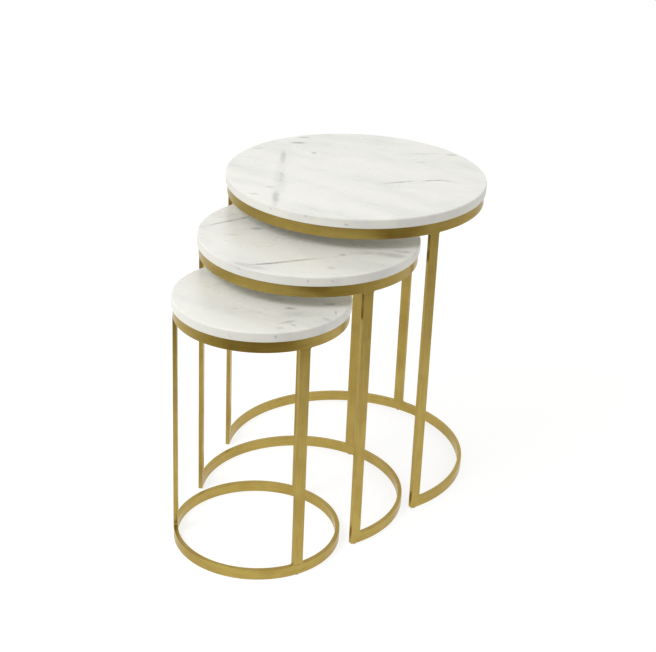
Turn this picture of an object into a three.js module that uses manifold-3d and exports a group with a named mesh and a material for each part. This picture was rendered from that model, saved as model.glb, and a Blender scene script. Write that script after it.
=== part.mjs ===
// Set of three round nesting tables: marble tops on frames of flat bar.
// Each frame is a top ring, three legs and a base. The bases of the large and middle tables are arcs,
// open at the front (-Y), so that the next smaller table slides in between their two end legs.
// Millimetres, +Z up. The origin is on the floor, at the centre of the set's bounding box.
import * as THREE from "three";
import { mergeVertices } from "three/addons/utils/BufferGeometryUtils.js";
import Module from "manifold-3d";

const wasm = await Module();
wasm.setup();

// ---------------------------------------------------------------- driving dimensions

// The set.
const LARGE_STONE_RADIUS = 250;
const LARGE_HEIGHT = 620; // floor to the top of the stone
const RADIUS_STEP = 45; // each smaller stone is this much less in radius
const HEADROOM = 23; // from a stone up to the ring of the next larger table
const LEG_CLEARANCE = 9; // between a stone and the end legs that it slides between

// The middle and small tables stand partly drawn out, a little to the right and not quite square.
const MIDDLE_DRAWN_OUT = 188; // centre of the middle table, forward of the large one's
const MIDDLE_ASIDE = 12;
const SMALL_DRAWN_OUT = 164; // centre of the small table, forward of the middle one's
const SMALL_ASIDE = 6;
const SMALL_TURN = THREE.MathUtils.degToRad(2);

// Stone tops.
const STONE_THICKNESS = 18;
const STONE_OVERHANG = 3; // past the ring all round
const STONE_TOP_ROUND = 2;
const STONE_UNDER_ROUND = 1.5;
const SHADOW_GAP = 1; // from the ring up to the stone

// Flat bar of the frames.
const BAR_WIDTH = 20; // upright in the rings and bases, along the ring in the legs
const BAR_THICKNESS = 8; // radial everywhere
const SMALL_LEG_ANGLE = THREE.MathUtils.degToRad(60); // from the front, for the table that takes no other

// Three tabs inside each ring, with a rubber pad and a screw up into the stone at each.
const TAB_WIDTH = 25;
const TAB_LENGTH = 30;
const TAB_THICKNESS = 3;
const TAB_CORNER = 5;
const TAB_HOLE_TO_END = 12;
const PAD_RADIUS = 10;
const PAD_THICKNESS = 2.6;
const SCREW_RADIUS = 2.5;
const SCREW_LENGTH = 16; // under the head
const SCREW_TIP = 0.8;
const SCREW_HEAD_RADIUS = 4.75;
const SCREW_HEAD_HEIGHT = 2.75;
const SCREW_HEAD_ROUND = 1.2;
const SOCKET_ACROSS_CORNERS = 3.4;
const SOCKET_DEPTH = 1.6;
const SCREW_CLEARANCE = 0.4; // round the shank, and past its tip

// Glides under the legs.
const GLIDE_THICKNESS = 1.3;
const GLIDE_ROUND = 0.3;
const GLIDE_EDGE = 0.5; // bar left bare on each side of a glide

const SEAM = 0.2; // hairline between pieces that are welded, or that rest on each other

// Fineness of the round shapes.
const RING_STEPS = 72;
const ARC_CURVE_SEGMENTS = 24; // half the steps along a base arc
const SMALL_STEPS = 14;
const ROUND_STEPS = 2;

// ---------------------------------------------------------------- sizes of each table

const BASE_UNDERSIDE = GLIDE_THICKNESS + SEAM;
const BASE_TOP = BASE_UNDERSIDE + BAR_WIDTH;
const FRONT = 0; // angles run from the front, -Y, towards +X
const BACK = Math.PI;
const THIRD_TURN = (2 * Math.PI) / 3;

// The angle at which an end leg's inner corner just clears the next smaller stone on its way in.
function openingAngle(ringInner, nextStoneRadius) {
  const halfLeg = BAR_WIDTH / 2;
  const cornerRadius = Math.hypot(ringInner, halfLeg);
  return Math.asin((nextStoneRadius + LEG_CLEARANCE) / cornerRadius) + Math.atan2(halfLeg, ringInner);
}

function tableSizes(name, stoneRadius, height, nextStoneRadius) {
  const ringOuter = stoneRadius - STONE_OVERHANG;
  const ringInner = ringOuter - BAR_THICKNESS;
  const stoneUnderside = height - STONE_THICKNESS;
  const ringTop = stoneUnderside - SHADOW_GAP;
  const open = nextStoneRadius !== null;
  return {
    name,
    stoneRadius,
    height,
    ringOuter,
    ringInner,
    stoneUnderside,
    ringTop,
    ringUnderside: ringTop - BAR_WIDTH,
    tabTop: stoneUnderside - SEAM - PAD_THICKNESS - SEAM,
    open,
    legAngle: open ? openingAngle(ringInner, nextStoneRadius) : SMALL_LEG_ANGLE,
  };
}

const middleStoneRadius = LARGE_STONE_RADIUS - RADIUS_STEP;
const smallStoneRadius = middleStoneRadius - RADIUS_STEP;
const large = tableSizes("large", LARGE_STONE_RADIUS, LARGE_HEIGHT, middleStoneRadius);
const middle = tableSizes("middle", middleStoneRadius, large.ringUnderside - HEADROOM, smallStoneRadius);
const small = tableSizes("small", smallStoneRadius, middle.ringUnderside - HEADROOM, null);

// ---------------------------------------------------------------- materials

const FINISHES = {
  marble: { color: 0xe8e7e1, roughness: 0.32, metalness: 0 },
  brass: { color: 0xb2924c, roughness: 0.38, metalness: 0.9 },
  rubber: { color: 0x2a2a28, roughness: 0.85, metalness: 0 },
  zinc: { color: 0xb4b3ad, roughness: 0.4, metalness: 0.9 },
  nylon: { color: 0x3b3833, roughness: 0.7, metalness: 0 },
};

function piece(name, geometry, finish) {
  const mesh = new THREE.Mesh(geometry, new THREE.MeshStandardMaterial(FINISHES[finish]));
  mesh.name = name;
  return mesh;
}

// ---------------------------------------------------------------- geometry helpers

// Turns a profile of (radius, z) points about Z. The first step is at the front, -Y.
function turned(profile, steps) {
  const points = profile.map(([radius, z]) => new THREE.Vector2(radius, z));
  return new THREE.LatheGeometry(points, steps).rotateX(Math.PI / 2);
}

// A ring of rectangular section; its profile closes on itself.
function rectangularRing(inner, outer, low, high, steps) {
  const corner = [inner, low];
  return turned([corner, [outer, low], [outer, high], [inner, high], corner], steps);
}

// Points of a quarter round about a centre, from one angle to the next quarter turn.
function quarterRound(centreRadius, centreZ, round, startAngle) {
  const points = [];
  for (let step = 0; step <= ROUND_STEPS; step += 1) {
    const angle = startAngle + (step / ROUND_STEPS) * (Math.PI / 2);
    points.push([centreRadius + round * Math.cos(angle), centreZ + round * Math.sin(angle)]);
  }
  return points;
}

// How far out a flat edge of this width can go inside a ring before it meets the flats of its wall.
function seatDistance(ringRadius, width) {
  const radius = ringRadius * Math.cos(Math.PI / RING_STEPS) - SEAM;
  return Math.sqrt(radius * radius - (width * width) / 4);
}

// Stands a mesh at an angle round the table: its own -Y points outwards.
function placeRound(mesh, angle, radius, z) {
  mesh.position.set(radius * Math.sin(angle), -radius * Math.cos(angle), z);
  mesh.rotation.z = angle;
  return mesh;
}

function solidFrom(geometry) {
  const bare = geometry.clone();
  bare.deleteAttribute("normal");
  bare.deleteAttribute("uv");
  const merged = mergeVertices(bare, 1e-3);
  const vertProperties = merged.attributes.position.array;
  const triVerts = new Uint32Array(merged.index.array);
  return new wasm.Manifold(new wasm.Mesh({ numProp: 3, vertProperties, triVerts }));
}

function cut(geometry, tools) {
  let solid = solidFrom(geometry);
  for (const tool of tools) {
    solid = solid.subtract(solidFrom(tool));
  }
  const { vertProperties, triVerts } = solid.getMesh();
  const result = new THREE.BufferGeometry();
  result.setAttribute("position", new THREE.BufferAttribute(vertProperties, 3));
  result.setIndex(new THREE.BufferAttribute(triVerts, 1));
  result.computeVertexNormals();
  return result;
}

// ---------------------------------------------------------------- pieces of a table

// Where the tabs, pads and screws are: midway between the legs, nearly, and clear of them.
const FIXINGS = [
  { side: "front", angle: FRONT },
  { side: "left", angle: -THIRD_TURN },
  { side: "right", angle: THIRD_TURN },
];

function screwCircle(table) {
  return seatDistance(table.ringInner, TAB_WIDTH) - TAB_LENGTH + TAB_HOLE_TO_END;
}

// A disc with eased edges and a blind hole over each screw.
function stoneTop(table) {
  const profile = [
    [0, 0],
    ...quarterRound(table.stoneRadius - STONE_UNDER_ROUND, STONE_UNDER_ROUND, STONE_UNDER_ROUND, -Math.PI / 2),
    ...quarterRound(table.stoneRadius - STONE_TOP_ROUND, STONE_THICKNESS - STONE_TOP_ROUND, STONE_TOP_ROUND, 0),
    [0, STONE_THICKNESS],
  ];
  const holeDepth = table.tabTop - TAB_THICKNESS - SEAM + SCREW_LENGTH + SCREW_CLEARANCE - table.stoneUnderside;
  const holeRadius = SCREW_RADIUS + SCREW_CLEARANCE;
  const holes = FIXINGS.map(({ angle }) =>
    new THREE.CylinderGeometry(holeRadius, holeRadius, 2 * holeDepth, SMALL_STEPS)
      .rotateX(Math.PI / 2)
      .translate(0, -screwCircle(table), 0)
      .rotateZ(angle),
  );
  const mesh = piece(`${table.name}_marble_top`, cut(turned(profile, RING_STEPS), holes), "marble");
  mesh.position.z = table.stoneUnderside;
  return mesh;
}

function topRing(table) {
  const { ringInner, ringOuter, ringUnderside, ringTop } = table;
  const geometry = rectangularRing(ringInner, ringOuter, ringUnderside, ringTop, RING_STEPS);
  return piece(`${table.name}_top_ring`, geometry, "brass");
}

// The end legs of an open table run down past the ends of its arc; every other leg stands on its base.
function leg(table, side, angle, onBase) {
  const bottom = onBase ? BASE_TOP + SEAM : BASE_UNDERSIDE;
  const length = table.ringUnderside - SEAM - bottom;
  const geometry = new THREE.BoxGeometry(BAR_WIDTH, BAR_THICKNESS, length);
  const mesh = piece(`${table.name}_leg_${side}`, geometry, "brass");
  return placeRound(mesh, angle, table.ringOuter - BAR_THICKNESS / 2, bottom + length / 2);
}

function baseRing(table) {
  const geometry = rectangularRing(table.ringInner, table.ringOuter, BASE_UNDERSIDE, BASE_TOP, RING_STEPS);
  return piece(`${table.name}_base_ring`, geometry, "brass");
}

// An arc from the back edge of one end leg round to the other.
function baseArc(table) {
  const { ringInner, ringOuter, legAngle } = table;
  const endAngle = legAngle + Math.asin((BAR_WIDTH / 2 + SEAM) / ringInner);
  const start = endAngle - Math.PI / 2;
  const end = 2 * Math.PI - endAngle - Math.PI / 2;
  const outline = new THREE.Shape();
  outline.absarc(0, 0, ringOuter, start, end, false);
  outline.absarc(0, 0, ringInner, end, start, true);
  const depth = BAR_WIDTH;
  const geometry = new THREE.ExtrudeGeometry(outline, {
    depth,
    bevelEnabled: false,
    curveSegments: ARC_CURVE_SEGMENTS,
  });
  const mesh = piece(`${table.name}_base_arc`, geometry, "brass");
  mesh.position.z = BASE_UNDERSIDE;
  return mesh;
}

// A plate with a screw hole, drawn about its hole, with its rounded end towards the table's centre.
function fixingTab(table, side, angle) {
  const half = TAB_WIDTH / 2;
  const innerEnd = TAB_HOLE_TO_END;
  const outerEnd = TAB_HOLE_TO_END - TAB_LENGTH;
  const outline = new THREE.Shape();
  outline.moveTo(-half, outerEnd);
  outline.lineTo(half, outerEnd);
  outline.absarc(half - TAB_CORNER, innerEnd - TAB_CORNER, TAB_CORNER, 0, Math.PI / 2, false);
  outline.absarc(-half + TAB_CORNER, innerEnd - TAB_CORNER, TAB_CORNER, Math.PI / 2, Math.PI, false);
  const hole = new THREE.Path();
  hole.absarc(0, 0, SCREW_RADIUS + SCREW_CLEARANCE, 0, 2 * Math.PI, true);
  outline.holes.push(hole);
  const geometry = new THREE.ExtrudeGeometry(outline, {
    depth: TAB_THICKNESS,
    bevelEnabled: false,
    curveSegments: SMALL_STEPS / 2,
  });
  const mesh = piece(`${table.name}_tab_${side}`, geometry, "brass");
  return placeRound(mesh, angle, screwCircle(table), table.tabTop - TAB_THICKNESS);
}

function rubberPad(table, side, angle) {
  const geometry = rectangularRing(SCREW_RADIUS + SCREW_CLEARANCE, PAD_RADIUS, 0, PAD_THICKNESS, SMALL_STEPS);
  const mesh = piece(`${table.name}_pad_${side}`, geometry, "rubber");
  return placeRound(mesh, angle, screwCircle(table), table.tabTop + SEAM);
}

// A button-head screw, point up, with a hexagon socket in its head.
function screw(table, side, angle) {
  const profile = [
    [0, -SCREW_HEAD_HEIGHT],
    [SCREW_HEAD_RADIUS - SCREW_HEAD_ROUND, -SCREW_HEAD_HEIGHT],
    [SCREW_HEAD_RADIUS, -SCREW_HEAD_HEIGHT + SCREW_HEAD_ROUND],
    [SCREW_HEAD_RADIUS, 0],
    [SCREW_RADIUS, 0],
    [SCREW_RADIUS, SCREW_LENGTH - SCREW_TIP],
    [SCREW_RADIUS - SCREW_TIP, SCREW_LENGTH],
    [0, SCREW_LENGTH],
  ];
  const socket = new THREE.CylinderGeometry(
    SOCKET_ACROSS_CORNERS / 2,
    SOCKET_ACROSS_CORNERS / 2,
    2 * SOCKET_DEPTH,
    6,
  );
  socket.rotateX(Math.PI / 2).translate(0, 0, -SCREW_HEAD_HEIGHT);
  const mesh = piece(`${table.name}_screw_${side}`, cut(turned(profile, SMALL_STEPS), [socket]), "zinc");
  return placeRound(mesh, angle, screwCircle(table), table.tabTop - TAB_THICKNESS - SEAM);
}

function glide(table, side, angle) {
  const radius = BAR_THICKNESS / 2 - GLIDE_EDGE;
  const profile = [
    [0, 0],
    [radius - GLIDE_ROUND, 0],
    [radius, GLIDE_ROUND],
    [radius, GLIDE_THICKNESS],
    [0, GLIDE_THICKNESS],
  ];
  const mesh = piece(`${table.name}_glide_${side}`, turned(profile, SMALL_STEPS), "nylon");
  return placeRound(mesh, angle, table.ringOuter - BAR_THICKNESS / 2, 0);
}

// ---------------------------------------------------------------- assembly

function makeTable(table) {
  const group = new THREE.Group();
  const legs = [
    { side: "left", angle: -table.legAngle, onBase: !table.open },
    { side: "right", angle: table.legAngle, onBase: !table.open },
    { side: "back", angle: BACK, onBase: true },
  ];
  group.add(stoneTop(table), topRing(table));
  group.add(table.open ? baseArc(table) : baseRing(table));
  for (const { side, angle, onBase } of legs) {
    group.add(leg(table, side, angle, onBase), glide(table, side, angle));
  }
  for (const { side, angle } of FIXINGS) {
    group.add(fixingTab(table, side, angle), rubberPad(table, side, angle), screw(table, side, angle));
  }
  return group;
}

const smallForward = MIDDLE_DRAWN_OUT + SMALL_DRAWN_OUT;
const backEdge = large.stoneRadius;
const frontEdge = -smallForward - small.stoneRadius;

const largeTable = makeTable(large);
const middleTable = makeTable(middle);
middleTable.position.set(MIDDLE_ASIDE, -MIDDLE_DRAWN_OUT, 0);
const smallTable = makeTable(small);
smallTable.position.set(MIDDLE_ASIDE + SMALL_ASIDE, -smallForward, 0);
smallTable.rotation.z = SMALL_TURN;

const tables = new THREE.Group();
tables.position.y = -(backEdge + frontEdge) / 2;
tables.add(largeTable, middleTable, smallTable);

export default tables;
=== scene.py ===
import math

import bmesh
import bpy
from mathutils import Matrix, Vector


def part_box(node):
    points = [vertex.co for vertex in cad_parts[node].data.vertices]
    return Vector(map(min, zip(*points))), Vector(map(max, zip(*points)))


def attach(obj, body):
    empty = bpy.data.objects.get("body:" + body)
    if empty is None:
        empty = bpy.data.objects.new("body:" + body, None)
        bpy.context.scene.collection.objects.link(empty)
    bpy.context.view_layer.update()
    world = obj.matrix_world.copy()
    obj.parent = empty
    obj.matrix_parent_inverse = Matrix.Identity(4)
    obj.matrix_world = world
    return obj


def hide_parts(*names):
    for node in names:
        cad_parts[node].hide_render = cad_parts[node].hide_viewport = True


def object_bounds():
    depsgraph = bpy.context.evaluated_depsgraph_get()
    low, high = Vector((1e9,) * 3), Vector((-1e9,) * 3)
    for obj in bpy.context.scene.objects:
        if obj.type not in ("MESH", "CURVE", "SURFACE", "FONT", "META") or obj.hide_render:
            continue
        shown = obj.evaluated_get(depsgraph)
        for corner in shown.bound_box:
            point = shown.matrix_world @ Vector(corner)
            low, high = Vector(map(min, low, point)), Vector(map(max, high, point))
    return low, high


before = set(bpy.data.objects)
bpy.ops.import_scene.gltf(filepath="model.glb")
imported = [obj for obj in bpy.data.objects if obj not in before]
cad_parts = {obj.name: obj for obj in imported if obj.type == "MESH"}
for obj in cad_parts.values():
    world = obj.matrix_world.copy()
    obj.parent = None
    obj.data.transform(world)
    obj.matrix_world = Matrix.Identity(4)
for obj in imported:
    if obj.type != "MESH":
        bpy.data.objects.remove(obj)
cad_low, cad_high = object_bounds()

# Looks of the three nesting tables. Every piece is drawn about its own table's centre line with its own
# -Y side outwards, in metres, and is then turned and stood where the frame has the node that it replaces.

MM = 0.001
TABLE_NAMES = ("large", "middle", "small")
SIDES = ("left", "right", "back")
FIXING_SIDES = ("front", "left", "right")

# Edges, joints and small details that are finer than the CAD solids.
STONE_TOP_ROUND = 3 * MM
STONE_UNDER_ROUND = 1.5 * MM
BAR_ROUND = 0.6 * MM
WELD_ROUND = 3 * MM  # the ground weld in the corner between two bars
WELD_BITE = 1.2 * MM  # how far a welded end runs into its neighbour, to close the CAD's hairline
TOE_ROUND = 3.5 * MM  # the free lower corner of an end leg
WELD_TAPER = 1 * MM  # how much a leg's hidden end narrows on each side
PLATE_ROUND = 0.4 * MM
PLATE_CORNER = 5 * MM
RUBBER_ROUND = 0.8 * MM
FOOT_ROUND = 0.35 * MM
FOOT_BITE = 0.3 * MM  # how far a foot runs up into its leg
HOLE_CLEARANCE = 0.4 * MM  # between the end of a screw and that of its hole
HEAD_FLAT = 2.3 * MM  # radius of the flat end of a screw's head
HEAD_RIM = 0.2 * MM
SHANK_RADIUS = 2.5 * MM
TIP_BEVEL = 0.8 * MM
SOCKET_DEPTH = 1.6 * MM
SOCKET_REACH = 1.7 * MM  # from the middle of a screw's hexagon socket to its corners
SOCKET_MOUTH = 1.08  # the bevelled mouth's reach and the floor's, as shares of the socket's
SOCKET_FLOOR = 0.9
SOCKET_BEVEL = 0.1 * MM  # how tall both bevels are

# Fineness.
STONE_STEPS = 256
RING_STEPS = 224
SMALL_STEPS = 48
CORNER_STEPS = 4
ROUND_STEPS = 8
PLATE_SIDE_STEPS = 8
QUARTER = math.pi / 2

# ---------------------------------------------------------------- what the frame says


class Table:
    """One table's place and sizes, measured on its CAD nodes."""

    def __init__(self, name):
        self.name = name
        self.body = f"{name}_table"
        self.base_node = next(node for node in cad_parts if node.startswith(f"{name}_base"))
        low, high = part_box(f"{name}_marble_top")
        self.centre = Vector(((low.x + high.x) / 2, (low.y + high.y) / 2, 0))
        back = self.middle_of("leg_back")
        self.turn = math.atan2(-back.x, back.y)
        right = self.middle_of("leg_right")
        self.leg_angle = math.atan2(right.x, -right.y) - self.turn
        self.has_opening = self.base_node.endswith("arc")

        self.stone_low, self.stone_high = low.z, high.z
        self.stone_radius = self.reach("marble_top")[1]
        self.ring_inner, self.ring_outer = self.reach("top_ring")
        self.ring_low, self.ring_high = self.heights("top_ring")
        base_low, base_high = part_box(self.base_node)
        self.base_low, self.base_high = base_low.z, base_high.z
        leg_low, leg_high = self.own_box("leg_back", math.pi)
        self.leg_width = leg_high.x - leg_low.x

    def node(self, part):
        """The full name of one of this table's nodes or pieces."""
        return f"{self.name}_{part}"

    def points(self, part):
        """A node's corners, measured from the table's centre line on the floor."""
        return [vertex.co - self.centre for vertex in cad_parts[self.node(part)].data.vertices]

    def middle_of(self, part):
        """The middle of a node's box, measured from the table's centre line on the floor."""
        low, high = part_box(self.node(part))
        return (low + high) / 2 - self.centre

    def heights(self, part):
        """How high a node begins and ends."""
        low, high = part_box(self.node(part))
        return low.z, high.z

    def reach(self, part):
        """Least and greatest distance of a node's corners from the table's centre line."""
        distances = [point.xy.length for point in self.points(part)]
        return min(distances), max(distances)

    def own_box(self, part, angle):
        """A node's box, seen with that angle round the table in front."""
        to_front = Matrix.Rotation(-self.turn - angle, 3, "Z")
        points = [to_front @ point for point in self.points(part)]
        low = Vector([min(point[axis] for point in points) for axis in range(3)])
        high = Vector([max(point[axis] for point in points) for axis in range(3)])
        return low, high

    def angle_of(self, part):
        """The angle round the table, from its front towards its right, at which a node stands."""
        middle = self.middle_of(part)
        return math.atan2(middle.x, -middle.y) - self.turn

    def hole_radius(self, side):
        """The radius of the hole in one of the pads."""
        pad = f"pad_{side}"
        middle = self.middle_of(pad)
        return min((point - middle).xy.length for point in self.points(pad))


TABLES = [Table(name) for name in TABLE_NAMES]

# ---------------------------------------------------------------- mesh helpers


def loft(name, loops, closed=False):
    """A closed skin through loops that have the same number of points.

    Its UV map is in metres: the first number runs from loop to loop, the second along each loop.
    """
    mesh = bpy.data.meshes.new(name)
    form = bmesh.new()
    uv_layer = form.loops.layers.uv.new("along_bar")
    rows = [[form.verts.new(point) for point in loop] for loop in loops]
    count = len(loops[0])
    along = running_length([loop[0] for loop in loops])
    around = running_length(loops[0])
    for index in range(len(rows) if closed else len(rows) - 1):
        this_row = rows[index]
        next_row = rows[(index + 1) % len(rows)]
        for point in range(count):
            beside = (point + 1) % count
            face = form.faces.new(
                (this_row[point], this_row[beside], next_row[beside], next_row[point])
            )
            spots = ((index, point), (index, point + 1), (index + 1, point + 1), (index + 1, point))
            for corner, (row, column) in zip(face.loops, spots):
                corner[uv_layer].uv = (along[row], around[column])
    if not closed:
        form.faces.new(rows[0])
        form.faces.new(rows[-1])
    bmesh.ops.recalc_face_normals(form, faces=form.faces)
    form.to_mesh(mesh)
    form.free()
    mesh.shade_smooth()
    piece = bpy.data.objects.new(name, mesh)
    bpy.context.scene.collection.objects.link(piece)
    return piece


def running_length(points):
    """How far round a closed line each of its points is, and at last its whole length."""
    lengths = [0.0]
    for index, point in enumerate(points):
        following = points[(index + 1) % len(points)]
        lengths.append(lengths[-1] + (Vector(following) - Vector(point)).length)
    return lengths


def even_shading(piece):
    """Lets the large flats keep their own shading next to their rounded edges."""
    modifier = piece.modifiers.new("even_shading", "WEIGHTED_NORMAL")
    modifier.mode = "FACE_AREA"
    modifier.weight = 100


def cut(piece, tools):
    """Takes the tools out of the piece, and removes them."""
    for tool in tools:
        modifier = piece.modifiers.new("cut", "BOOLEAN")
        modifier.object = tool
        modifier.operation = "DIFFERENCE"
        modifier.solver = "EXACT"
    bpy.context.view_layer.update()
    finished = piece.evaluated_get(bpy.context.evaluated_depsgraph_get())
    mesh = bpy.data.meshes.new_from_object(finished)
    piece.modifiers.clear()
    piece.data = mesh
    for tool in tools:
        bpy.data.objects.remove(tool)


def circle(radius, z, steps=SMALL_STEPS, centre=(0, 0)):
    """Points of a level circle, the first at its front."""
    points = []
    for step in range(steps):
        angle = 2 * math.pi * step / steps
        points.append((centre[0] + radius * math.sin(angle), centre[1] - radius * math.cos(angle), z))
    return points


def quarter_round(centre, radius, start_angle, steps=ROUND_STEPS):
    """Points of a quarter circle from one angle to the next quarter turn."""
    points = []
    for step in range(steps + 1):
        angle = start_angle + QUARTER * step / steps
        points.append((centre[0] + radius * math.cos(angle), centre[1] + radius * math.sin(angle)))
    return points


def rounded_rectangle(low, high, radius=BAR_ROUND, steps=CORNER_STEPS):
    """Points round a rectangle between two corners, with its own corners rounded."""
    corners = (
        ((high[0] - radius, low[1] + radius), -QUARTER),
        ((high[0] - radius, high[1] - radius), 0),
        ((low[0] + radius, high[1] - radius), QUARTER),
        ((low[0] + radius, low[1] + radius), math.pi),
    )
    points = []
    for centre, start_angle in corners:
        points += quarter_round(centre, radius, start_angle, steps)
    return points


def round_table(section, angle):
    """A section of (radius, z) points, stood at an angle round the table."""
    return [(radius * math.sin(angle), -radius * math.cos(angle), z) for radius, z in section]


def finish_piece(piece, table, part, material, angle=0.0):
    """Stands a piece in its table, in place of the CAD node of that part."""
    piece.data.transform(Matrix.Rotation(table.turn + angle, 4, "Z"))
    piece.location = table.centre
    piece.data.materials.clear()
    piece.data.materials.append(material)
    bpy.context.view_layer.update()
    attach(piece, table.body)
    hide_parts(table.node(part))
    return piece


# ---------------------------------------------------------------- node helpers

# The mix node has several sockets of one name, so those for colours go by number.
MIX_FACTOR = 0
MIX_FIRST = 6
MIX_SECOND = 7
MIX_RESULT = 2
NOISE_SPAN = (0.3, 0.7)  # most noise is between these


def new_material(name):
    """A material with a bare node tree, and its surface shader."""
    material = bpy.data.materials.new(name)
    material.use_nodes = True
    tree = material.node_tree
    return material, tree, tree.nodes["Principled BSDF"]


def add_node(tree, kind, inputs=(), **settings):
    """A node with its settings, and with each input set to a number or linked to another node's output."""
    node = tree.nodes.new(kind)
    for name, value in settings.items():
        setattr(node, name, value)
    for key, value in dict(inputs).items():
        if isinstance(value, bpy.types.NodeSocket):
            tree.links.new(value, node.inputs[key])
        else:
            node.inputs[key].default_value = value
    return node


def math_node(tree, operation, first, second, clamp=False):
    """The result of an operation on two numbers."""
    node = add_node(tree, "ShaderNodeMath", {0: first, 1: second}, operation=operation, use_clamp=clamp)
    return node.outputs[0]


def vector_node(tree, operation, first, second):
    """The result of an operation on two vectors."""
    inputs = {0: first, 1: second}
    return add_node(tree, "ShaderNodeVectorMath", inputs, operation=operation).outputs["Vector"]


def weighted(tree, first, share, second):
    """Two values added up, the first by its share and the second by what is left."""
    one = math_node(tree, "MULTIPLY", first, share)
    other = math_node(tree, "MULTIPLY", second, 1 - share)
    return math_node(tree, "ADD", one, other)


def object_place(tree):
    """Where a point is on its own piece, in metres."""
    return add_node(tree, "ShaderNodeTexCoord").outputs["Object"]


def noise(tree, place, scale, detail, roughness=0.5, output="Fac"):
    """Noise about a half, at a scale in bumps a metre."""
    inputs = {"Vector": place, "Scale": scale, "Detail": detail, "Roughness": roughness}
    return add_node(tree, "ShaderNodeTexNoise", inputs).outputs[output]


def stretched(tree, place, scale):
    """A place, multiplied by a scale for each axis."""
    return add_node(tree, "ShaderNodeMapping", {"Vector": place, "Scale": scale}).outputs[0]


def remap(tree, value, low, high, to_low=0.0, to_high=1.0):
    """Carries the span from low to high smoothly onto another span, and holds it there."""
    inputs = {"Value": value, "From Min": low, "From Max": high, "To Min": to_low, "To Max": to_high}
    settings = {"interpolation_type": "SMOOTHSTEP", "clamp": True}
    return add_node(tree, "ShaderNodeMapRange", inputs, **settings).outputs[0]


def mixed(tree, factor, first, second):
    """A colour that goes from the first one, where the factor is 0, to the second one, where it is 1."""
    inputs = {MIX_FACTOR: factor, MIX_FIRST: opaque(first), MIX_SECOND: opaque(second)}
    return add_node(tree, "ShaderNodeMix", inputs, data_type="RGBA").outputs[MIX_RESULT]


def opaque(colour):
    """A colour with its alpha; another node's output is left as it is."""
    return colour if isinstance(colour, bpy.types.NodeSocket) else (*colour, 1)


def bump(tree, shader, height, distance, strength):
    """Roughens a shader's surface by a height map, which is as deep as the distance."""
    inputs = {"Height": height, "Distance": distance, "Strength": strength}
    tree.links.new(add_node(tree, "ShaderNodeBump", inputs).outputs[0], shader.inputs["Normal"])


# ---------------------------------------------------------------- marble

MARBLE_WHITE = (0.84, 0.84, 0.79)
MARBLE_CLOUD = (0.72, 0.725, 0.70)
MARBLE_VEIN = (0.25, 0.26, 0.26)

# Marks in the marble, in fractions of the stone's radius: the middle of the mark from the stone's
# centre, its direction in degrees from the right, its half length, its half width, and how strongly it
# shows. They slant down into the stone.
MARKS = {
    "large": (
        (-0.66, -0.02, -60, 0.24, 0.030, 0.46),
        (-0.42, -0.42, -60, 0.28, 0.032, 0.34),
        (-0.20, -0.82, -60, 0.28, 0.040, 0.52),
        (-0.38, -0.50, -60, 0.85, 0.095, 0.17),
        (-0.35, -0.66, 30, 0.07, 0.028, 0.46),
        (-0.37, -0.86, 30, 0.05, 0.025, 0.46),
        (-0.75, 0.36, 38, 0.100, 0.026, 0.86),
        (-0.80, 0.50, 30, 0.070, 0.024, 0.50),
        (-0.52, 0.22, 30, 0.034, 0.032, 0.90),
        (0.37, 0.02, 48.7, 0.19, 0.017, 0.72),
        (0.56, 0.21, 45, 0.16, 0.017, 0.80),
        (0.66, 0.27, 12, 0.09, 0.015, 0.50),
        (0.20, 0.74, 37.6, 0.18, 0.028, 0.28),
        (0.27, 0.54, 30, 0.070, 0.026, 0.32),
        (0.39, 0.85, 30, 0.070, 0.030, 0.60),
        (-0.93, 0.05, 20, 0.09, 0.05, 0.24),
    ),
    "middle": (
        (0.17, -0.70, 50.8, 0.50, 0.021, 0.96),
        (-0.76, -0.21, 65.7, 0.30, 0.020, 0.78),
        (-0.68, -0.02, 65.7, 0.08, 0.030, 0.60),
        (-0.44, -0.18, 30, 0.080, 0.034, 0.80),
        (-0.54, -0.44, 35, 0.120, 0.028, 0.34),
        (0.50, -0.26, 40, 0.055, 0.032, 0.80),
        (0.84, -0.02, 20, 0.20, 0.095, 0.52),
        (0.89, 0.12, 25, 0.13, 0.050, 0.50),
        (0.62, -0.12, 35, 0.20, 0.060, 0.32),
        (0.57, -0.57, 0, 0.060, 0.034, 0.44),
        (-0.04, -0.95, 8, 0.24, 0.065, 0.38),
    ),
    "small": (
        (0.46, -0.15, 30, 0.090, 0.046, 0.70),
        (0.61, -0.47, 55, 0.140, 0.028, 0.66),
        (0.68, -0.50, -20, 0.090, 0.028, 0.56),
        (0.62, -0.64, 30, 0.060, 0.028, 0.50),
        (0.75, 0.19, 30, 0.100, 0.046, 0.62),
        (0.91, -0.18, -20, 0.100, 0.038, 0.42),
        (0.92, 0.02, -60, 0.100, 0.018, 0.50),
        (0.66, -0.20, 35, 0.360, 0.170, 0.24),
        (0.20, -0.05, 30, 0.150, 0.064, 0.30),
        (-0.56, -0.04, 30, 0.060, 0.028, 0.30),
        (-0.04, -0.49, 30, 0.060, 0.028, 0.34),
    ),
}
MARK_SLANT = 30  # degrees
MARK_DEPTH = 12 * MM
MARK_WANDER = 4 * MM  # how far noise pushes a mark out of its straight line
MARK_RAGGED = 1.2 * MM  # and how far finer noise frays its outline
WANDER_SCALE = 14
RAGGED_SCALE = 120
BREAK_SCALE = 60  # of the noise that lets a mark fade here and there
BREAK_SPAN = (0.34, 0.62)
FAINTEST = 0.5  # the least share of its strength that a mark shows with

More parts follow.
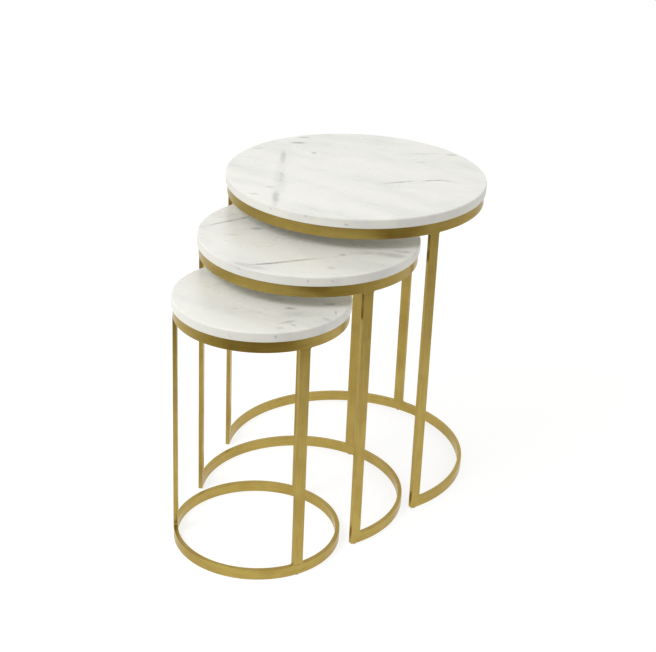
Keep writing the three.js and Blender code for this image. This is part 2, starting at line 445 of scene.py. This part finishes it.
# Spots on the stones' sides: the angle round the table in degrees, how far down the side as a share of
# the thickness, half the width, half the height, and how strongly it shows.
SIDE_SPOTS = {
    "large": (
        (-8, 0.35, 6 * MM, 3 * MM, 0.50),
        (9, 0.22, 4 * MM, 3 * MM, 0.40),
        (26, 0.60, 7 * MM, 2.5 * MM, 0.50),
        (48, 0.50, 5 * MM, 3 * MM, 0.30),
        (142, 0.40, 9 * MM, 3 * MM, 0.40),
        (218, 0.55, 6 * MM, 3 * MM, 0.40),
    ),
    "middle": (
        (-5, 0.30, 7 * MM, 3 * MM, 0.42),
        (31, 0.38, 2.5 * MM, 5 * MM, 0.55),
        (43, 0.45, 6 * MM, 2.5 * MM, 0.30),
        (-40, 0.55, 6 * MM, 3 * MM, 0.24),
        (160, 0.50, 8 * MM, 3 * MM, 0.40),
    ),
    "small": (
        (40, 0.30, 4 * MM, 3.5 * MM, 0.50),
        (12, 0.60, 7 * MM, 2.5 * MM, 0.22),
        (-30, 0.45, 6 * MM, 3 * MM, 0.20),
        (190, 0.40, 6 * MM, 3 * MM, 0.40),
    ),
}
SPOT_DEPTH = 8 * MM
SPOT_TILT = 20  # degrees

BLOCK_PLACE = (40, 17, 0)  # in stone radii: each stone is cut from another part of the block
BEDDING = 35  # degrees: the clouds and faint streaks lie along this direction
BEDDING_SQUEEZE = (1, 2.6, 1.6)
CLOUD_SCALE = 6
CLOUD_SPAN = (0.40, 0.72)
CLOUD_STRENGTH = 0.6
STREAK_SCALE = 26
STREAK_SPAN = (0.48, 0.80)
STREAK_STRENGTH = 0.14
SMEAR_SCALE = 24
GRAIN_SCALE = 900
GRAIN_HEIGHT = 0.004 * MM
MARBLE_ROUGHNESS = (0.26, 0.36)


def soft_ellipsoid(tree, place, middle, rotation, half_sizes, strength):
    """How near a place is to the middle of an ellipsoid, from 0 at its skin to its strength inside."""
    inputs = {"Vector": place, "Location": middle, "Rotation": rotation, "Scale": half_sizes}
    inside = add_node(tree, "ShaderNodeMapping", inputs, vector_type="TEXTURE").outputs[0]
    distance = add_node(tree, "ShaderNodeVectorMath", {0: inside}, operation="LENGTH")
    skin, full = 1.0, 0.2
    return remap(tree, distance.outputs["Value"], skin, full, 0.0, strength)


def placed_mark(tree, place, table, mark):
    """A soft elongated mark that goes down into the stone from its top."""
    x, y, direction, half_length, half_width, strength = mark
    radius = table.stone_radius
    across = Matrix.Rotation(table.turn, 2) @ Vector((x * radius, y * radius))
    middle = (*across, table.stone_high)
    rotation = (math.radians(MARK_SLANT), 0, math.radians(direction) + table.turn)
    half_sizes = (half_length * radius, half_width * radius, MARK_DEPTH)
    return soft_ellipsoid(tree, place, middle, rotation, half_sizes, strength)


def side_spot(tree, place, table, spot):
    """A small grey spot on the stone's side."""
    degrees, drop, half_width, half_height, strength = spot
    angle = math.radians(degrees) + table.turn
    radius = table.stone_radius
    z = table.stone_high - drop * (table.stone_high - table.stone_low)
    middle = (radius * math.sin(angle), -radius * math.cos(angle), z)
    half_sizes = (half_width, SPOT_DEPTH, half_height)
    rotation = (0, math.radians(SPOT_TILT), angle)
    return soft_ellipsoid(tree, place, middle, rotation, half_sizes, strength)


def shaken(tree, place, block, scale, distance):
    """A place, pushed about by noise of a scale in bumps a metre, at most about a distance."""
    sway = noise(tree, block, scale, 2.0, output="Color")
    centred = vector_node(tree, "SUBTRACT", sway, (0.5, 0.5, 0.5))
    push = vector_node(tree, "MULTIPLY", centred, (2 * distance,) * 3)
    return vector_node(tree, "ADD", place, push)


def marks_and_spots(tree, place, block, table):
    """How strongly the table's own marks and side spots show at a place, from 0 to 1."""
    wandering = shaken(tree, place, block, WANDER_SCALE, MARK_WANDER)
    ragged = shaken(tree, wandering, block, RAGGED_SCALE, MARK_RAGGED)
    shown = [placed_mark(tree, ragged, table, mark) for mark in MARKS[table.name]]
    shown += [side_spot(tree, ragged, table, spot) for spot in SIDE_SPOTS[table.name]]
    strongest = shown[0]
    for mark in shown[1:]:
        strongest = math_node(tree, "MAXIMUM", strongest, mark)
    broken = remap(tree, noise(tree, block, BREAK_SCALE, 3.0, 0.6), *BREAK_SPAN, FAINTEST, 1.0)
    return math_node(tree, "MULTIPLY", strongest, broken)


def marble(table):
    """White marble with soft grey clouds and streaks and this table's own marks."""
    material, tree, shader = new_material(f"marble_{table.name}")
    place = object_place(tree)
    block_place = tuple(table.stone_radius * part for part in BLOCK_PLACE)
    block = vector_node(tree, "ADD", place, block_place)
    inputs = {"Vector": block, "Rotation": (0, 0, math.radians(-BEDDING)), "Scale": BEDDING_SQUEEZE}
    bedded = add_node(tree, "ShaderNodeMapping", inputs).outputs[0]

    clouds = remap(tree, noise(tree, bedded, CLOUD_SCALE, 3.0, 0.55), *CLOUD_SPAN)
    cloudy = math_node(tree, "MULTIPLY", clouds, CLOUD_STRENGTH)
    ground = mixed(tree, cloudy, MARBLE_WHITE, MARBLE_CLOUD)
    streaks = remap(tree, noise(tree, bedded, STREAK_SCALE, 2.0), *STREAK_SPAN, 0.0, STREAK_STRENGTH)
    clouded_streaks = math_node(tree, "MULTIPLY", streaks, clouds)
    marks = marks_and_spots(tree, place, block, table)
    dark = math_node(tree, "ADD", clouded_streaks, marks, clamp=True)
    tree.links.new(mixed(tree, dark, ground, MARBLE_VEIN), shader.inputs["Base Color"])

    smears = noise(tree, block, SMEAR_SCALE, 3.0)
    tree.links.new(remap(tree, smears, *NOISE_SPAN, *MARBLE_ROUGHNESS), shader.inputs["Roughness"])
    bump(tree, shader, noise(tree, block, GRAIN_SCALE, 2.0), GRAIN_HEIGHT, strength=0.5)
    shader.inputs["Specular IOR Level"].default_value = 0.35
    return material


# ---------------------------------------------------------------- metals, rubber and nylon

BRASS_LIGHT = (0.456, 0.333, 0.070)
BRASS_DARK = (0.362, 0.249, 0.044)
BRASS_EDGE = (0.80, 0.68, 0.42)  # its tint at a glancing angle
BRASS_TONE_SPAN = (0.36, 0.62)
BRASS_ROUGHNESS = (0.34, 0.46)
FINE_BRUSHING = (40, 4200, 1)  # streaks a metre, along a bar and across it
BROAD_BRUSHING = (14, 420, 1)
BRUSHING_HEIGHT = 0.012 * MM
PATINA_SCALE = 16
BROAD_SHARE = 0.45  # of the broad brushing in the colour; the patina has the rest
FINE_SHARE = 0.6  # of the fine brushing in the roughness
ZINC = (0.55, 0.55, 0.53)
ZINC_DULL = (0.42, 0.42, 0.40)
ZINC_ROUGHNESS = (0.28, 0.42)
ZINC_SPAN = (0.35, 0.65)
ZINC_SCALE = 700
ZINC_HEIGHT = 0.02 * MM
RUBBER = (0.030, 0.030, 0.028)
RUBBER_ROUGHNESS = (0.72, 0.88)
RUBBER_SCALE = 900
NYLON = (0.045, 0.040, 0.035)
NYLON_ROUGHNESS = (0.52, 0.68)
NYLON_SCALE = 1500
SKIN_SPAN = (0.4, 0.7)
SKIN_PALER = 1.6  # how much paler than its colour a moulding is in places
SKIN_HEIGHT = 0.05 * MM


def brushed_brass():
    """Satin brass with fine brushing along each bar, under a thin lacquer."""
    material, tree, shader = new_material("brushed_brass")
    along = add_node(tree, "ShaderNodeTexCoord").outputs["UV"]
    fine = noise(tree, stretched(tree, along, FINE_BRUSHING), 1.0, 3.0, 0.6)
    broad = noise(tree, stretched(tree, along, BROAD_BRUSHING), 1.0, 3.0, 0.55)
    patina = noise(tree, object_place(tree), PATINA_SCALE, 4.0, 0.6)

    tone = weighted(tree, broad, BROAD_SHARE, patina)
    colour = mixed(tree, remap(tree, tone, *BRASS_TONE_SPAN), BRASS_DARK, BRASS_LIGHT)
    tree.links.new(colour, shader.inputs["Base Color"])
    brushing = weighted(tree, fine, FINE_SHARE, patina)
    tree.links.new(remap(tree, brushing, *NOISE_SPAN, *BRASS_ROUGHNESS), shader.inputs["Roughness"])
    bump(tree, shader, fine, BRUSHING_HEIGHT, strength=0.8)
    shader.inputs["Metallic"].default_value = 1.0
    shader.inputs["Specular Tint"].default_value = (*BRASS_EDGE, 1)
    shader.inputs["Coat Weight"].default_value = 0.65
    shader.inputs["Coat Roughness"].default_value = 0.2
    return material


def zinc_steel():
    """Zinc-plated steel, lightly mottled."""
    material, tree, shader = new_material("zinc_steel")
    mottle = noise(tree, object_place(tree), ZINC_SCALE, 3.0, 0.6)
    colour = mixed(tree, remap(tree, mottle, *ZINC_SPAN), ZINC_DULL, ZINC)
    tree.links.new(colour, shader.inputs["Base Color"])
    tree.links.new(remap(tree, mottle, *NOISE_SPAN, *ZINC_ROUGHNESS), shader.inputs["Roughness"])
    bump(tree, shader, mottle, ZINC_HEIGHT, strength=0.5)
    shader.inputs["Metallic"].default_value = 1.0
    return material


def moulded(name, colour, scale, roughness):
    """A dull moulded plastic or rubber with a fine skin."""
    material, tree, shader = new_material(name)
    skin = noise(tree, object_place(tree), scale, 3.0, 0.6)
    paler = tuple(SKIN_PALER * part for part in colour)
    mottled = mixed(tree, remap(tree, skin, *SKIN_SPAN), colour, paler)
    tree.links.new(mottled, shader.inputs["Base Color"])
    tree.links.new(remap(tree, skin, *NOISE_SPAN, *roughness), shader.inputs["Roughness"])
    bump(tree, shader, skin, SKIN_HEIGHT, strength=0.5)
    return material


BRASS = brushed_brass()
STEEL = zinc_steel()
PAD_RUBBER = moulded("pad_rubber", RUBBER, RUBBER_SCALE, RUBBER_ROUGHNESS)
FOOT_NYLON = moulded("foot_nylon", NYLON, NYLON_SCALE, NYLON_ROUGHNESS)

# ---------------------------------------------------------------- pieces of a table


def stone_top(table):
    """The stone, with both its edges eased and a blind hole over each screw."""
    radius = table.stone_radius
    low, high = table.stone_low, table.stone_high
    under_centre = (radius - STONE_UNDER_ROUND, low + STONE_UNDER_ROUND)
    top_centre = (radius - STONE_TOP_ROUND, high - STONE_TOP_ROUND)
    profile = quarter_round(under_centre, STONE_UNDER_ROUND, -QUARTER)
    profile += quarter_round(top_centre, STONE_TOP_ROUND, 0)
    piece = loft(table.node("stone"), [circle(reach, z, STONE_STEPS) for reach, z in profile])
    cut(piece, [screw_hole(table, side) for side in FIXING_SIDES])
    piece.data.shade_smooth()
    even_shading(piece)
    return finish_piece(piece, table, "marble_top", marble(table))


def screw_hole(table, side):
    """The tool for the hole over a screw: as wide as the pad's hole, and just deeper than the screw."""
    screw = f"screw_{side}"
    angle = table.angle_of(screw)
    distance = table.middle_of(screw).xy.length
    centre = (distance * math.sin(angle), -distance * math.cos(angle))
    top = table.heights(screw)[1] + HOLE_CLEARANCE
    below_stone = 2 * table.stone_low - top
    radius = table.hole_radius(side)
    return loft("hole", [circle(radius, z, SMALL_STEPS, centre) for z in (below_stone, top)])


def full_ring(name, section):
    """A bar of that section, rolled to a closed ring round the centre line."""
    angles = [2 * math.pi * step / RING_STEPS for step in range(RING_STEPS)]
    return loft(name, [round_table(section, angle) for angle in angles], closed=True)


def top_ring(table):
    """The ring that carries the stone's tabs, as tall and wide as its flat bar."""
    low = (table.ring_inner, table.ring_low)
    high = (table.ring_outer, table.ring_high)
    piece = full_ring(table.node("ring"), rounded_rectangle(low, high))
    even_shading(piece)
    return finish_piece(piece, table, "top_ring", BRASS)


def weld_spread(nearness):
    """How much a bar widens where its weld runs into its neighbour, from 0 away from it to 1 at it."""
    return WELD_ROUND * (1 - math.sqrt(1 - nearness * nearness))


def open_arc(table, low, high):
    """A bar round the back, from end leg to end leg, whose top rises in a small weld at each of them."""
    middle_radius = (table.ring_inner + table.ring_outer) / 2
    weld_angle = WELD_ROUND / middle_radius
    bite_angle = WELD_BITE / middle_radius
    leg_edge = table.leg_angle + math.asin(table.leg_width / 2 / middle_radius)
    first = leg_edge + weld_angle
    last = 2 * math.pi - first
    welds = [step / ROUND_STEPS for step in range(1, ROUND_STEPS + 1)]

    stations = [(leg_edge - bite_angle, WELD_ROUND)]
    stations += [(first - near * weld_angle, weld_spread(near)) for near in reversed(welds)]
    stations += [(first + (last - first) * step / RING_STEPS, 0) for step in range(RING_STEPS + 1)]
    stations += [(last + near * weld_angle, weld_spread(near)) for near in welds]
    stations.append((2 * math.pi - leg_edge + bite_angle, WELD_ROUND))
    loops = []
    for angle, rise in stations:
        loops.append(round_table(rounded_rectangle(low, (high[0], high[1] + rise)), angle))
    return loft(table.node("base"), loops)


def base(table):
    """The bar on the floor: a full ring, or an arc that is open at the front."""
    low = (table.ring_inner, table.base_low)
    high = (table.ring_outer, table.base_high)
    if table.has_opening:
        piece = open_arc(table, low, high)
    else:
        piece = full_ring(table.node("base"), rounded_rectangle(low, high))
    even_shading(piece)
    part = table.base_node.removeprefix(f"{table.name}_")
    return finish_piece(piece, table, part, BRASS)


def leg_loop(table, z, spread=(0, 0), inset=0.0, bend=0.0):
    """A leg's section at a height, widened to each side by spread and drawn in all round by inset.

    bend turns its flat faces, from 0, into the ring's round ones, at 1.
    """
    half = table.leg_width / 2
    low = (-half - spread[0] + inset, -table.ring_outer + inset)
    high = (half + spread[1] - inset, -table.ring_inner - inset)
    points = []
    for x, y in rounded_rectangle(low, high):
        round_y = -math.sqrt(y * y - x * x)
        points.append((x, y + bend * (round_y - y), z))
    return points


def welded_end(table, joint_z, towards):
    """Loops of a leg's end from its weld into the bar above (towards 1) or below it (towards -1)."""
    loops = []
    for step in range(ROUND_STEPS + 1):
        near = step / ROUND_STEPS
        wide = weld_spread(near)
        z = joint_z - towards * WELD_ROUND * (1 - near)
        loops.append(leg_loop(table, z, (wide, wide), bend=near * near))
    wide = (WELD_ROUND, WELD_ROUND)
    past_round = joint_z + towards * BAR_ROUND
    loops.append(leg_loop(table, past_round, wide, inset=WELD_TAPER / 10, bend=1))
    loops.append(leg_loop(table, joint_z + towards * WELD_BITE, wide, inset=WELD_TAPER, bend=1))
    return loops


def free_end(table, opening_side):
    """Loops of the end that an end leg stands on, rounded most at its corner beside the opening."""
    loops = []
    for step in range(ROUND_STEPS + 1):
        turn = QUARTER * step / ROUND_STEPS
        rise = TOE_ROUND * (1 - math.cos(turn))
        toe = TOE_ROUND * (1 - math.sin(turn))
        short = max(BAR_ROUND - rise, 0)
        edge = BAR_ROUND - math.sqrt(BAR_ROUND * BAR_ROUND - short * short)
        spread = (edge - toe, 0) if opening_side < 0 else (0, edge - toe)
        loops.append(leg_loop(table, table.base_low + rise, spread, inset=edge))
    return loops


def leg(table, side):
    """A flat bar up to the ring, that stands on the base or, beside the opening, on the floor."""
    angle = table.angle_of(f"leg_{side}")
    stands_on_base = table.heights(f"leg_{side}")[0] > table.base_high
    if stands_on_base:
        bottom = list(reversed(welded_end(table, table.base_high, -1)))
    else:
        opening_side = -1 if angle > 0 else 1
        bottom = free_end(table, opening_side)
    loops = bottom + welded_end(table, table.ring_low, 1)
    piece = loft(table.node(f"upright_{side}"), loops)
    even_shading(piece)
    return finish_piece(piece, table, f"leg_{side}", BRASS, angle)


def foot(table, side):
    """The nylon glide pressed into the underside of a leg."""
    part = f"glide_{side}"
    angle = table.angle_of(part)
    distance = table.middle_of(part).xy.length
    low, high = table.own_box(part, angle)
    radius = (high.x - low.x) / 2
    round_centre = (radius - FOOT_ROUND, low.z + FOOT_ROUND)
    profile = quarter_round(round_centre, FOOT_ROUND, -QUARTER, CORNER_STEPS)
    profile.append((radius, table.base_low + FOOT_BITE))
    loops = [circle(reach, z, SMALL_STEPS, (0, -distance)) for reach, z in profile]
    piece = loft(table.node(f"foot_{side}"), loops)
    even_shading(piece)
    return finish_piece(piece, table, part, FOOT_NYLON, angle)


def points_between(first, last):
    """Evenly spaced points from the first one on, up to but without the last one."""
    return [first.lerp(last, step / PLATE_SIDE_STEPS) for step in range(PLATE_SIDE_STEPS)]


def plate_outline(low, high):
    """Points round a plate whose far corners are round, from the left end of its near side on."""
    near_left, near_right = Vector((low.x, low.y)), Vector((high.x, low.y))
    shoulder = high.y - PLATE_CORNER
    right_shoulder, left_shoulder = Vector((high.x, shoulder)), Vector((low.x, shoulder))
    outline = points_between(near_left, near_right)
    outline += points_between(near_right, right_shoulder)
    outline += quarter_round((high.x - PLATE_CORNER, shoulder), PLATE_CORNER, 0)
    outline += quarter_round((low.x + PLATE_CORNER, shoulder), PLATE_CORNER, QUARTER)
    outline += points_between(left_shoulder, near_left)[1:]
    return outline


def bracket(table, side):
    """A plate with a screw hole, welded inside the ring."""
    part = f"tab_{side}"
    angle = table.angle_of(part)
    low, high = table.own_box(part, angle)
    low.y -= WELD_BITE
    outline = plate_outline(low, high)
    screw = Vector((0, -table.middle_of(f"screw_{side}").xy.length))
    hole_radius = table.hole_radius(side)

    def plate_loop(inset, z):
        middle = ((low + high) / 2).xy
        half = ((high - low) / 2).xy
        across, down = (half.x - inset) / half.x, (half.y - inset) / half.y
        return [(middle.x + (x - middle.x) * across, middle.y + (y - middle.y) * down, z) for x, y in outline]

    def hole_loop(widen, z):
        directions = [(Vector(point) - screw).normalized() for point in outline]
        return [(*(screw + direction * (hole_radius + widen)), z) for direction in directions]

    piece = loft(
        table.node(f"bracket_{side}"),
        [
            hole_loop(PLATE_ROUND, low.z),
            plate_loop(PLATE_ROUND, low.z),
            plate_loop(0, low.z + PLATE_ROUND),
            plate_loop(0, high.z - PLATE_ROUND),
            plate_loop(PLATE_ROUND, high.z),
            hole_loop(PLATE_ROUND, high.z),
            hole_loop(0, high.z - PLATE_ROUND),
            hole_loop(0, low.z + PLATE_ROUND),
        ],
        closed=True,
    )
    even_shading(piece)
    return finish_piece(piece, table, part, BRASS, angle)


def washer(table, side):
    """The rubber pad between a bracket and the stone, bulged a little by its load."""
    part = f"pad_{side}"
    angle = table.angle_of(part)
    middle = table.middle_of(part)
    outer_radius = max((point - middle).xy.length for point in table.points(part))
    tab_top = table.heights(f"tab_{side}")[1]
    low, high = (table.hole_radius(side), tab_top), (outer_radius, table.stone_low)
    section = rounded_rectangle(low, high, RUBBER_ROUND)
    loops = []
    for step in range(SMALL_STEPS):
        turn = 2 * math.pi * step / SMALL_STEPS
        loops.append([(x, y - middle.xy.length, z) for x, y, z in round_table(section, turn)])
    piece = loft(table.node(f"washer_{side}"), loops, closed=True)
    even_shading(piece)
    return finish_piece(piece, table, part, PAD_RUBBER, angle)


def hexagon(corner_reach, z, centre):
    """Points of a level hexagon, as many as a small circle has."""
    sixth = math.pi / 3
    flat_reach = corner_reach * math.cos(sixth / 2)
    points = []
    for step in range(SMALL_STEPS):
        angle = 2 * math.pi * step / SMALL_STEPS
        off_flat = (angle + sixth / 2) % sixth - sixth / 2
        reach = flat_reach / math.cos(off_flat)
        points.append((centre[0] + reach * math.sin(angle), centre[1] - reach * math.cos(angle), z))
    return points


def bolt(table, side):
    """A button-head screw with a hexagon socket, point up."""
    part = f"screw_{side}"
    angle = table.angle_of(part)
    centre = (0, -table.middle_of(part).xy.length)
    low, high = table.own_box(part, angle)
    head_radius = (high.x - low.x) / 2
    seat = table.heights(f"tab_{side}")[0]

    floor = low.z + SOCKET_DEPTH
    loops = [
        hexagon(SOCKET_REACH * SOCKET_FLOOR, floor, centre),
        hexagon(SOCKET_REACH, floor - SOCKET_BEVEL, centre),
        hexagon(SOCKET_REACH, low.z + SOCKET_BEVEL, centre),
        hexagon(SOCKET_REACH * SOCKET_MOUTH, low.z, centre),
    ]
    for step in range(ROUND_STEPS):
        turn = QUARTER * step / ROUND_STEPS
        reach = HEAD_FLAT + (head_radius - HEAD_FLAT) * math.sin(turn)
        loops.append(circle(reach, seat - (seat - low.z) * math.cos(turn), SMALL_STEPS, centre))
    shank = [
        (head_radius, seat - HEAD_RIM),
        (head_radius - HEAD_RIM, seat),
        (SHANK_RADIUS, seat),
        (SHANK_RADIUS, high.z - TIP_BEVEL),
        (SHANK_RADIUS - TIP_BEVEL, high.z),
    ]
    loops += [circle(reach, z, SMALL_STEPS, centre) for reach, z in shank]
    piece = loft(table.node(f"bolt_{side}"), loops)
    even_shading(piece)
    return finish_piece(piece, table, part, STEEL, angle)


for each_table in TABLES:
    stone_top(each_table)
    top_ring(each_table)
    base(each_table)
    for each_side in SIDES:
        leg(each_table, each_side)
        foot(each_table, each_side)
    for each_side in FIXING_SIDES:
        bracket(each_table, each_side)
        washer(each_table, each_side)
        bolt(each_table, each_side)

# ---------------------------------------------------------------- floor, light and camera

CAMERA_AZIMUTH = 30.045
CAMERA_ELEVATION = 24.929
CAMERA_ROLL = 2.475
CAMERA_DISTANCE = 2.860
CAMERA_LENS = 80.975
CAMERA_SENSOR = 36
AIM_RIGHT = 0.02507  # how far the picture's centre is from the middle of the set
AIM_UP = 0.03232

FLOOR_RADIUS = 1.45
FLOOR_THICKNESS = 5 * MM
FLOOR_STEPS = 128
FLOOR_SET_BACK = 0.48  # away from the camera, so that the disc ends close in front of the set
FLOOR_COLOUR = (0.32, 0.32, 0.318)
FLOOR_GRAIN = (0.3136, 0.3136, 0.31164)
FLOOR_GRAIN_SCALE = 400
FLOOR_GLOW = 0.78

KEY_AZIMUTH = -18
KEY_ELEVATION = 46
KEY_DISTANCE = 3
KEY_SIZE = 1.2
KEY_WATTS = 36

# The room: a bright backdrop on one side, duller walls, a dim ceiling, and a ground that is pale under the
# backdrop and dark opposite. A span is the two cosines or two heights between which one gives way to the
# next, with the directions from the set as long as 1.
BACKDROP_AZIMUTH = 205
BACKDROP_WHITE = (1.34, 1.34, 1.32)
BACKDROP_SPAN = (0.1, 1.0)
ROOM_WALLS = (0.81, 0.80, 0.78)
CEILING = (0.53, 0.53, 0.52)
CEILING_SPAN = (0.35, 0.85)
GROUND_DARK = (0.135, 0.100, 0.060)
GROUND_PALE = (0.62, 0.61, 0.60)
GROUND_SPAN = (-0.75, 0.15)
HORIZON_SPAN = (-0.12, 0.08)

middle_of_set = (cad_low + cad_high) / 2


def direction_of(azimuth, elevation):
    """The unit vector towards an azimuth (0 in front, 90 at the right) and elevation, in degrees."""
    around, above = math.radians(azimuth), math.radians(elevation)
    level = math.cos(above)
    return Vector((math.sin(around) * level, -math.cos(around) * level, math.sin(above)))


def pale_floor():
    """A plain pale disc to stand on, with a light of its own."""
    floor = loft("studio_floor", [circle(FLOOR_RADIUS, z, FLOOR_STEPS) for z in (-FLOOR_THICKNESS, 0)])
    away = direction_of(CAMERA_AZIMUTH, 0) * -FLOOR_SET_BACK
    floor.location = (middle_of_set.x + away.x, middle_of_set.y + away.y, cad_low.z)
    material, tree, shader = new_material("studio_floor")
    grain = noise(tree, object_place(tree), FLOOR_GRAIN_SCALE, 2.0)
    tree.links.new(mixed(tree, grain, FLOOR_COLOUR, FLOOR_GRAIN), shader.inputs["Base Color"])
    shader.inputs["Roughness"].default_value = 0.9
    shader.inputs["Specular IOR Level"].default_value = 0.1
    shader.inputs["Emission Color"].default_value = (1, 1, 1, 1)
    shader.inputs["Emission Strength"].default_value = FLOOR_GLOW
    floor.data.materials.append(material)


def key_light():
    """A square area light that faces the set."""
    direction = direction_of(KEY_AZIMUTH, KEY_ELEVATION)
    data = bpy.data.lights.new("key", "AREA")
    data.shape = "SQUARE"
    data.size = KEY_SIZE
    data.energy = KEY_WATTS
    light = bpy.data.objects.new("key", data)
    bpy.context.scene.collection.objects.link(light)
    light.location = middle_of_set + direction * KEY_DISTANCE
    light.rotation_mode = "QUATERNION"
    light.rotation_quaternion = direction.to_track_quat("Z", "Y")


def studio_world():
    """White to look at; to the object it is a pale room."""
    world = bpy.data.worlds.new("studio")
    world.use_nodes = True
    bpy.context.scene.world = world
    tree = world.node_tree
    tree.nodes.clear()
    direction = add_node(tree, "ShaderNodeTexCoord").outputs["Generated"]
    height = add_node(tree, "ShaderNodeSeparateXYZ", {0: direction}).outputs["Z"]
    inputs = {0: direction, 1: direction_of(BACKDROP_AZIMUTH, 0)}
    facing = add_node(tree, "ShaderNodeVectorMath", inputs, operation="DOT_PRODUCT").outputs["Value"]

    walls = mixed(tree, remap(tree, facing, *BACKDROP_SPAN), ROOM_WALLS, BACKDROP_WHITE)
    above_ground = mixed(tree, remap(tree, height, *CEILING_SPAN), walls, CEILING)
    ground = mixed(tree, remap(tree, facing, *GROUND_SPAN), GROUND_DARK, GROUND_PALE)
    room = mixed(tree, remap(tree, height, *HORIZON_SPAN), ground, above_ground)
    seen = add_node(tree, "ShaderNodeLightPath").outputs["Is Camera Ray"]
    colour = mixed(tree, seen, room, (1, 1, 1))
    background = add_node(tree, "ShaderNodeBackground", {"Color": colour, "Strength": 1.0})
    output = add_node(tree, "ShaderNodeOutputWorld")
    tree.links.new(background.outputs[0], output.inputs["Surface"])


def photographer():
    """The camera, aimed beside the middle of the set and rolled a little, as the picture is framed."""
    roll = math.radians(CAMERA_ROLL)
    back = direction_of(CAMERA_AZIMUTH, CAMERA_ELEVATION)
    level_right = Vector((0, 0, 1)).cross(back).normalized()
    level_up = back.cross(level_right)
    right = math.cos(roll) * level_right + math.sin(roll) * level_up
    up = math.cos(roll) * level_up - math.sin(roll) * level_right
    data = bpy.data.cameras.new("camera")
    data.sensor_width = CAMERA_SENSOR
    data.lens = CAMERA_LENS
    camera = bpy.data.objects.new("camera", data)
    bpy.context.scene.collection.objects.link(camera)
    turned = Matrix((right, up, back)).transposed().to_4x4()
    place = middle_of_set + back * CAMERA_DISTANCE + right * AIM_RIGHT + up * AIM_UP
    camera.matrix_world = Matrix.Translation(place) @ turned
    bpy.context.scene.camera = camera


pale_floor()
studio_world()
key_light()
photographer()

bpy.context.scene.view_settings.view_transform = "Standard"
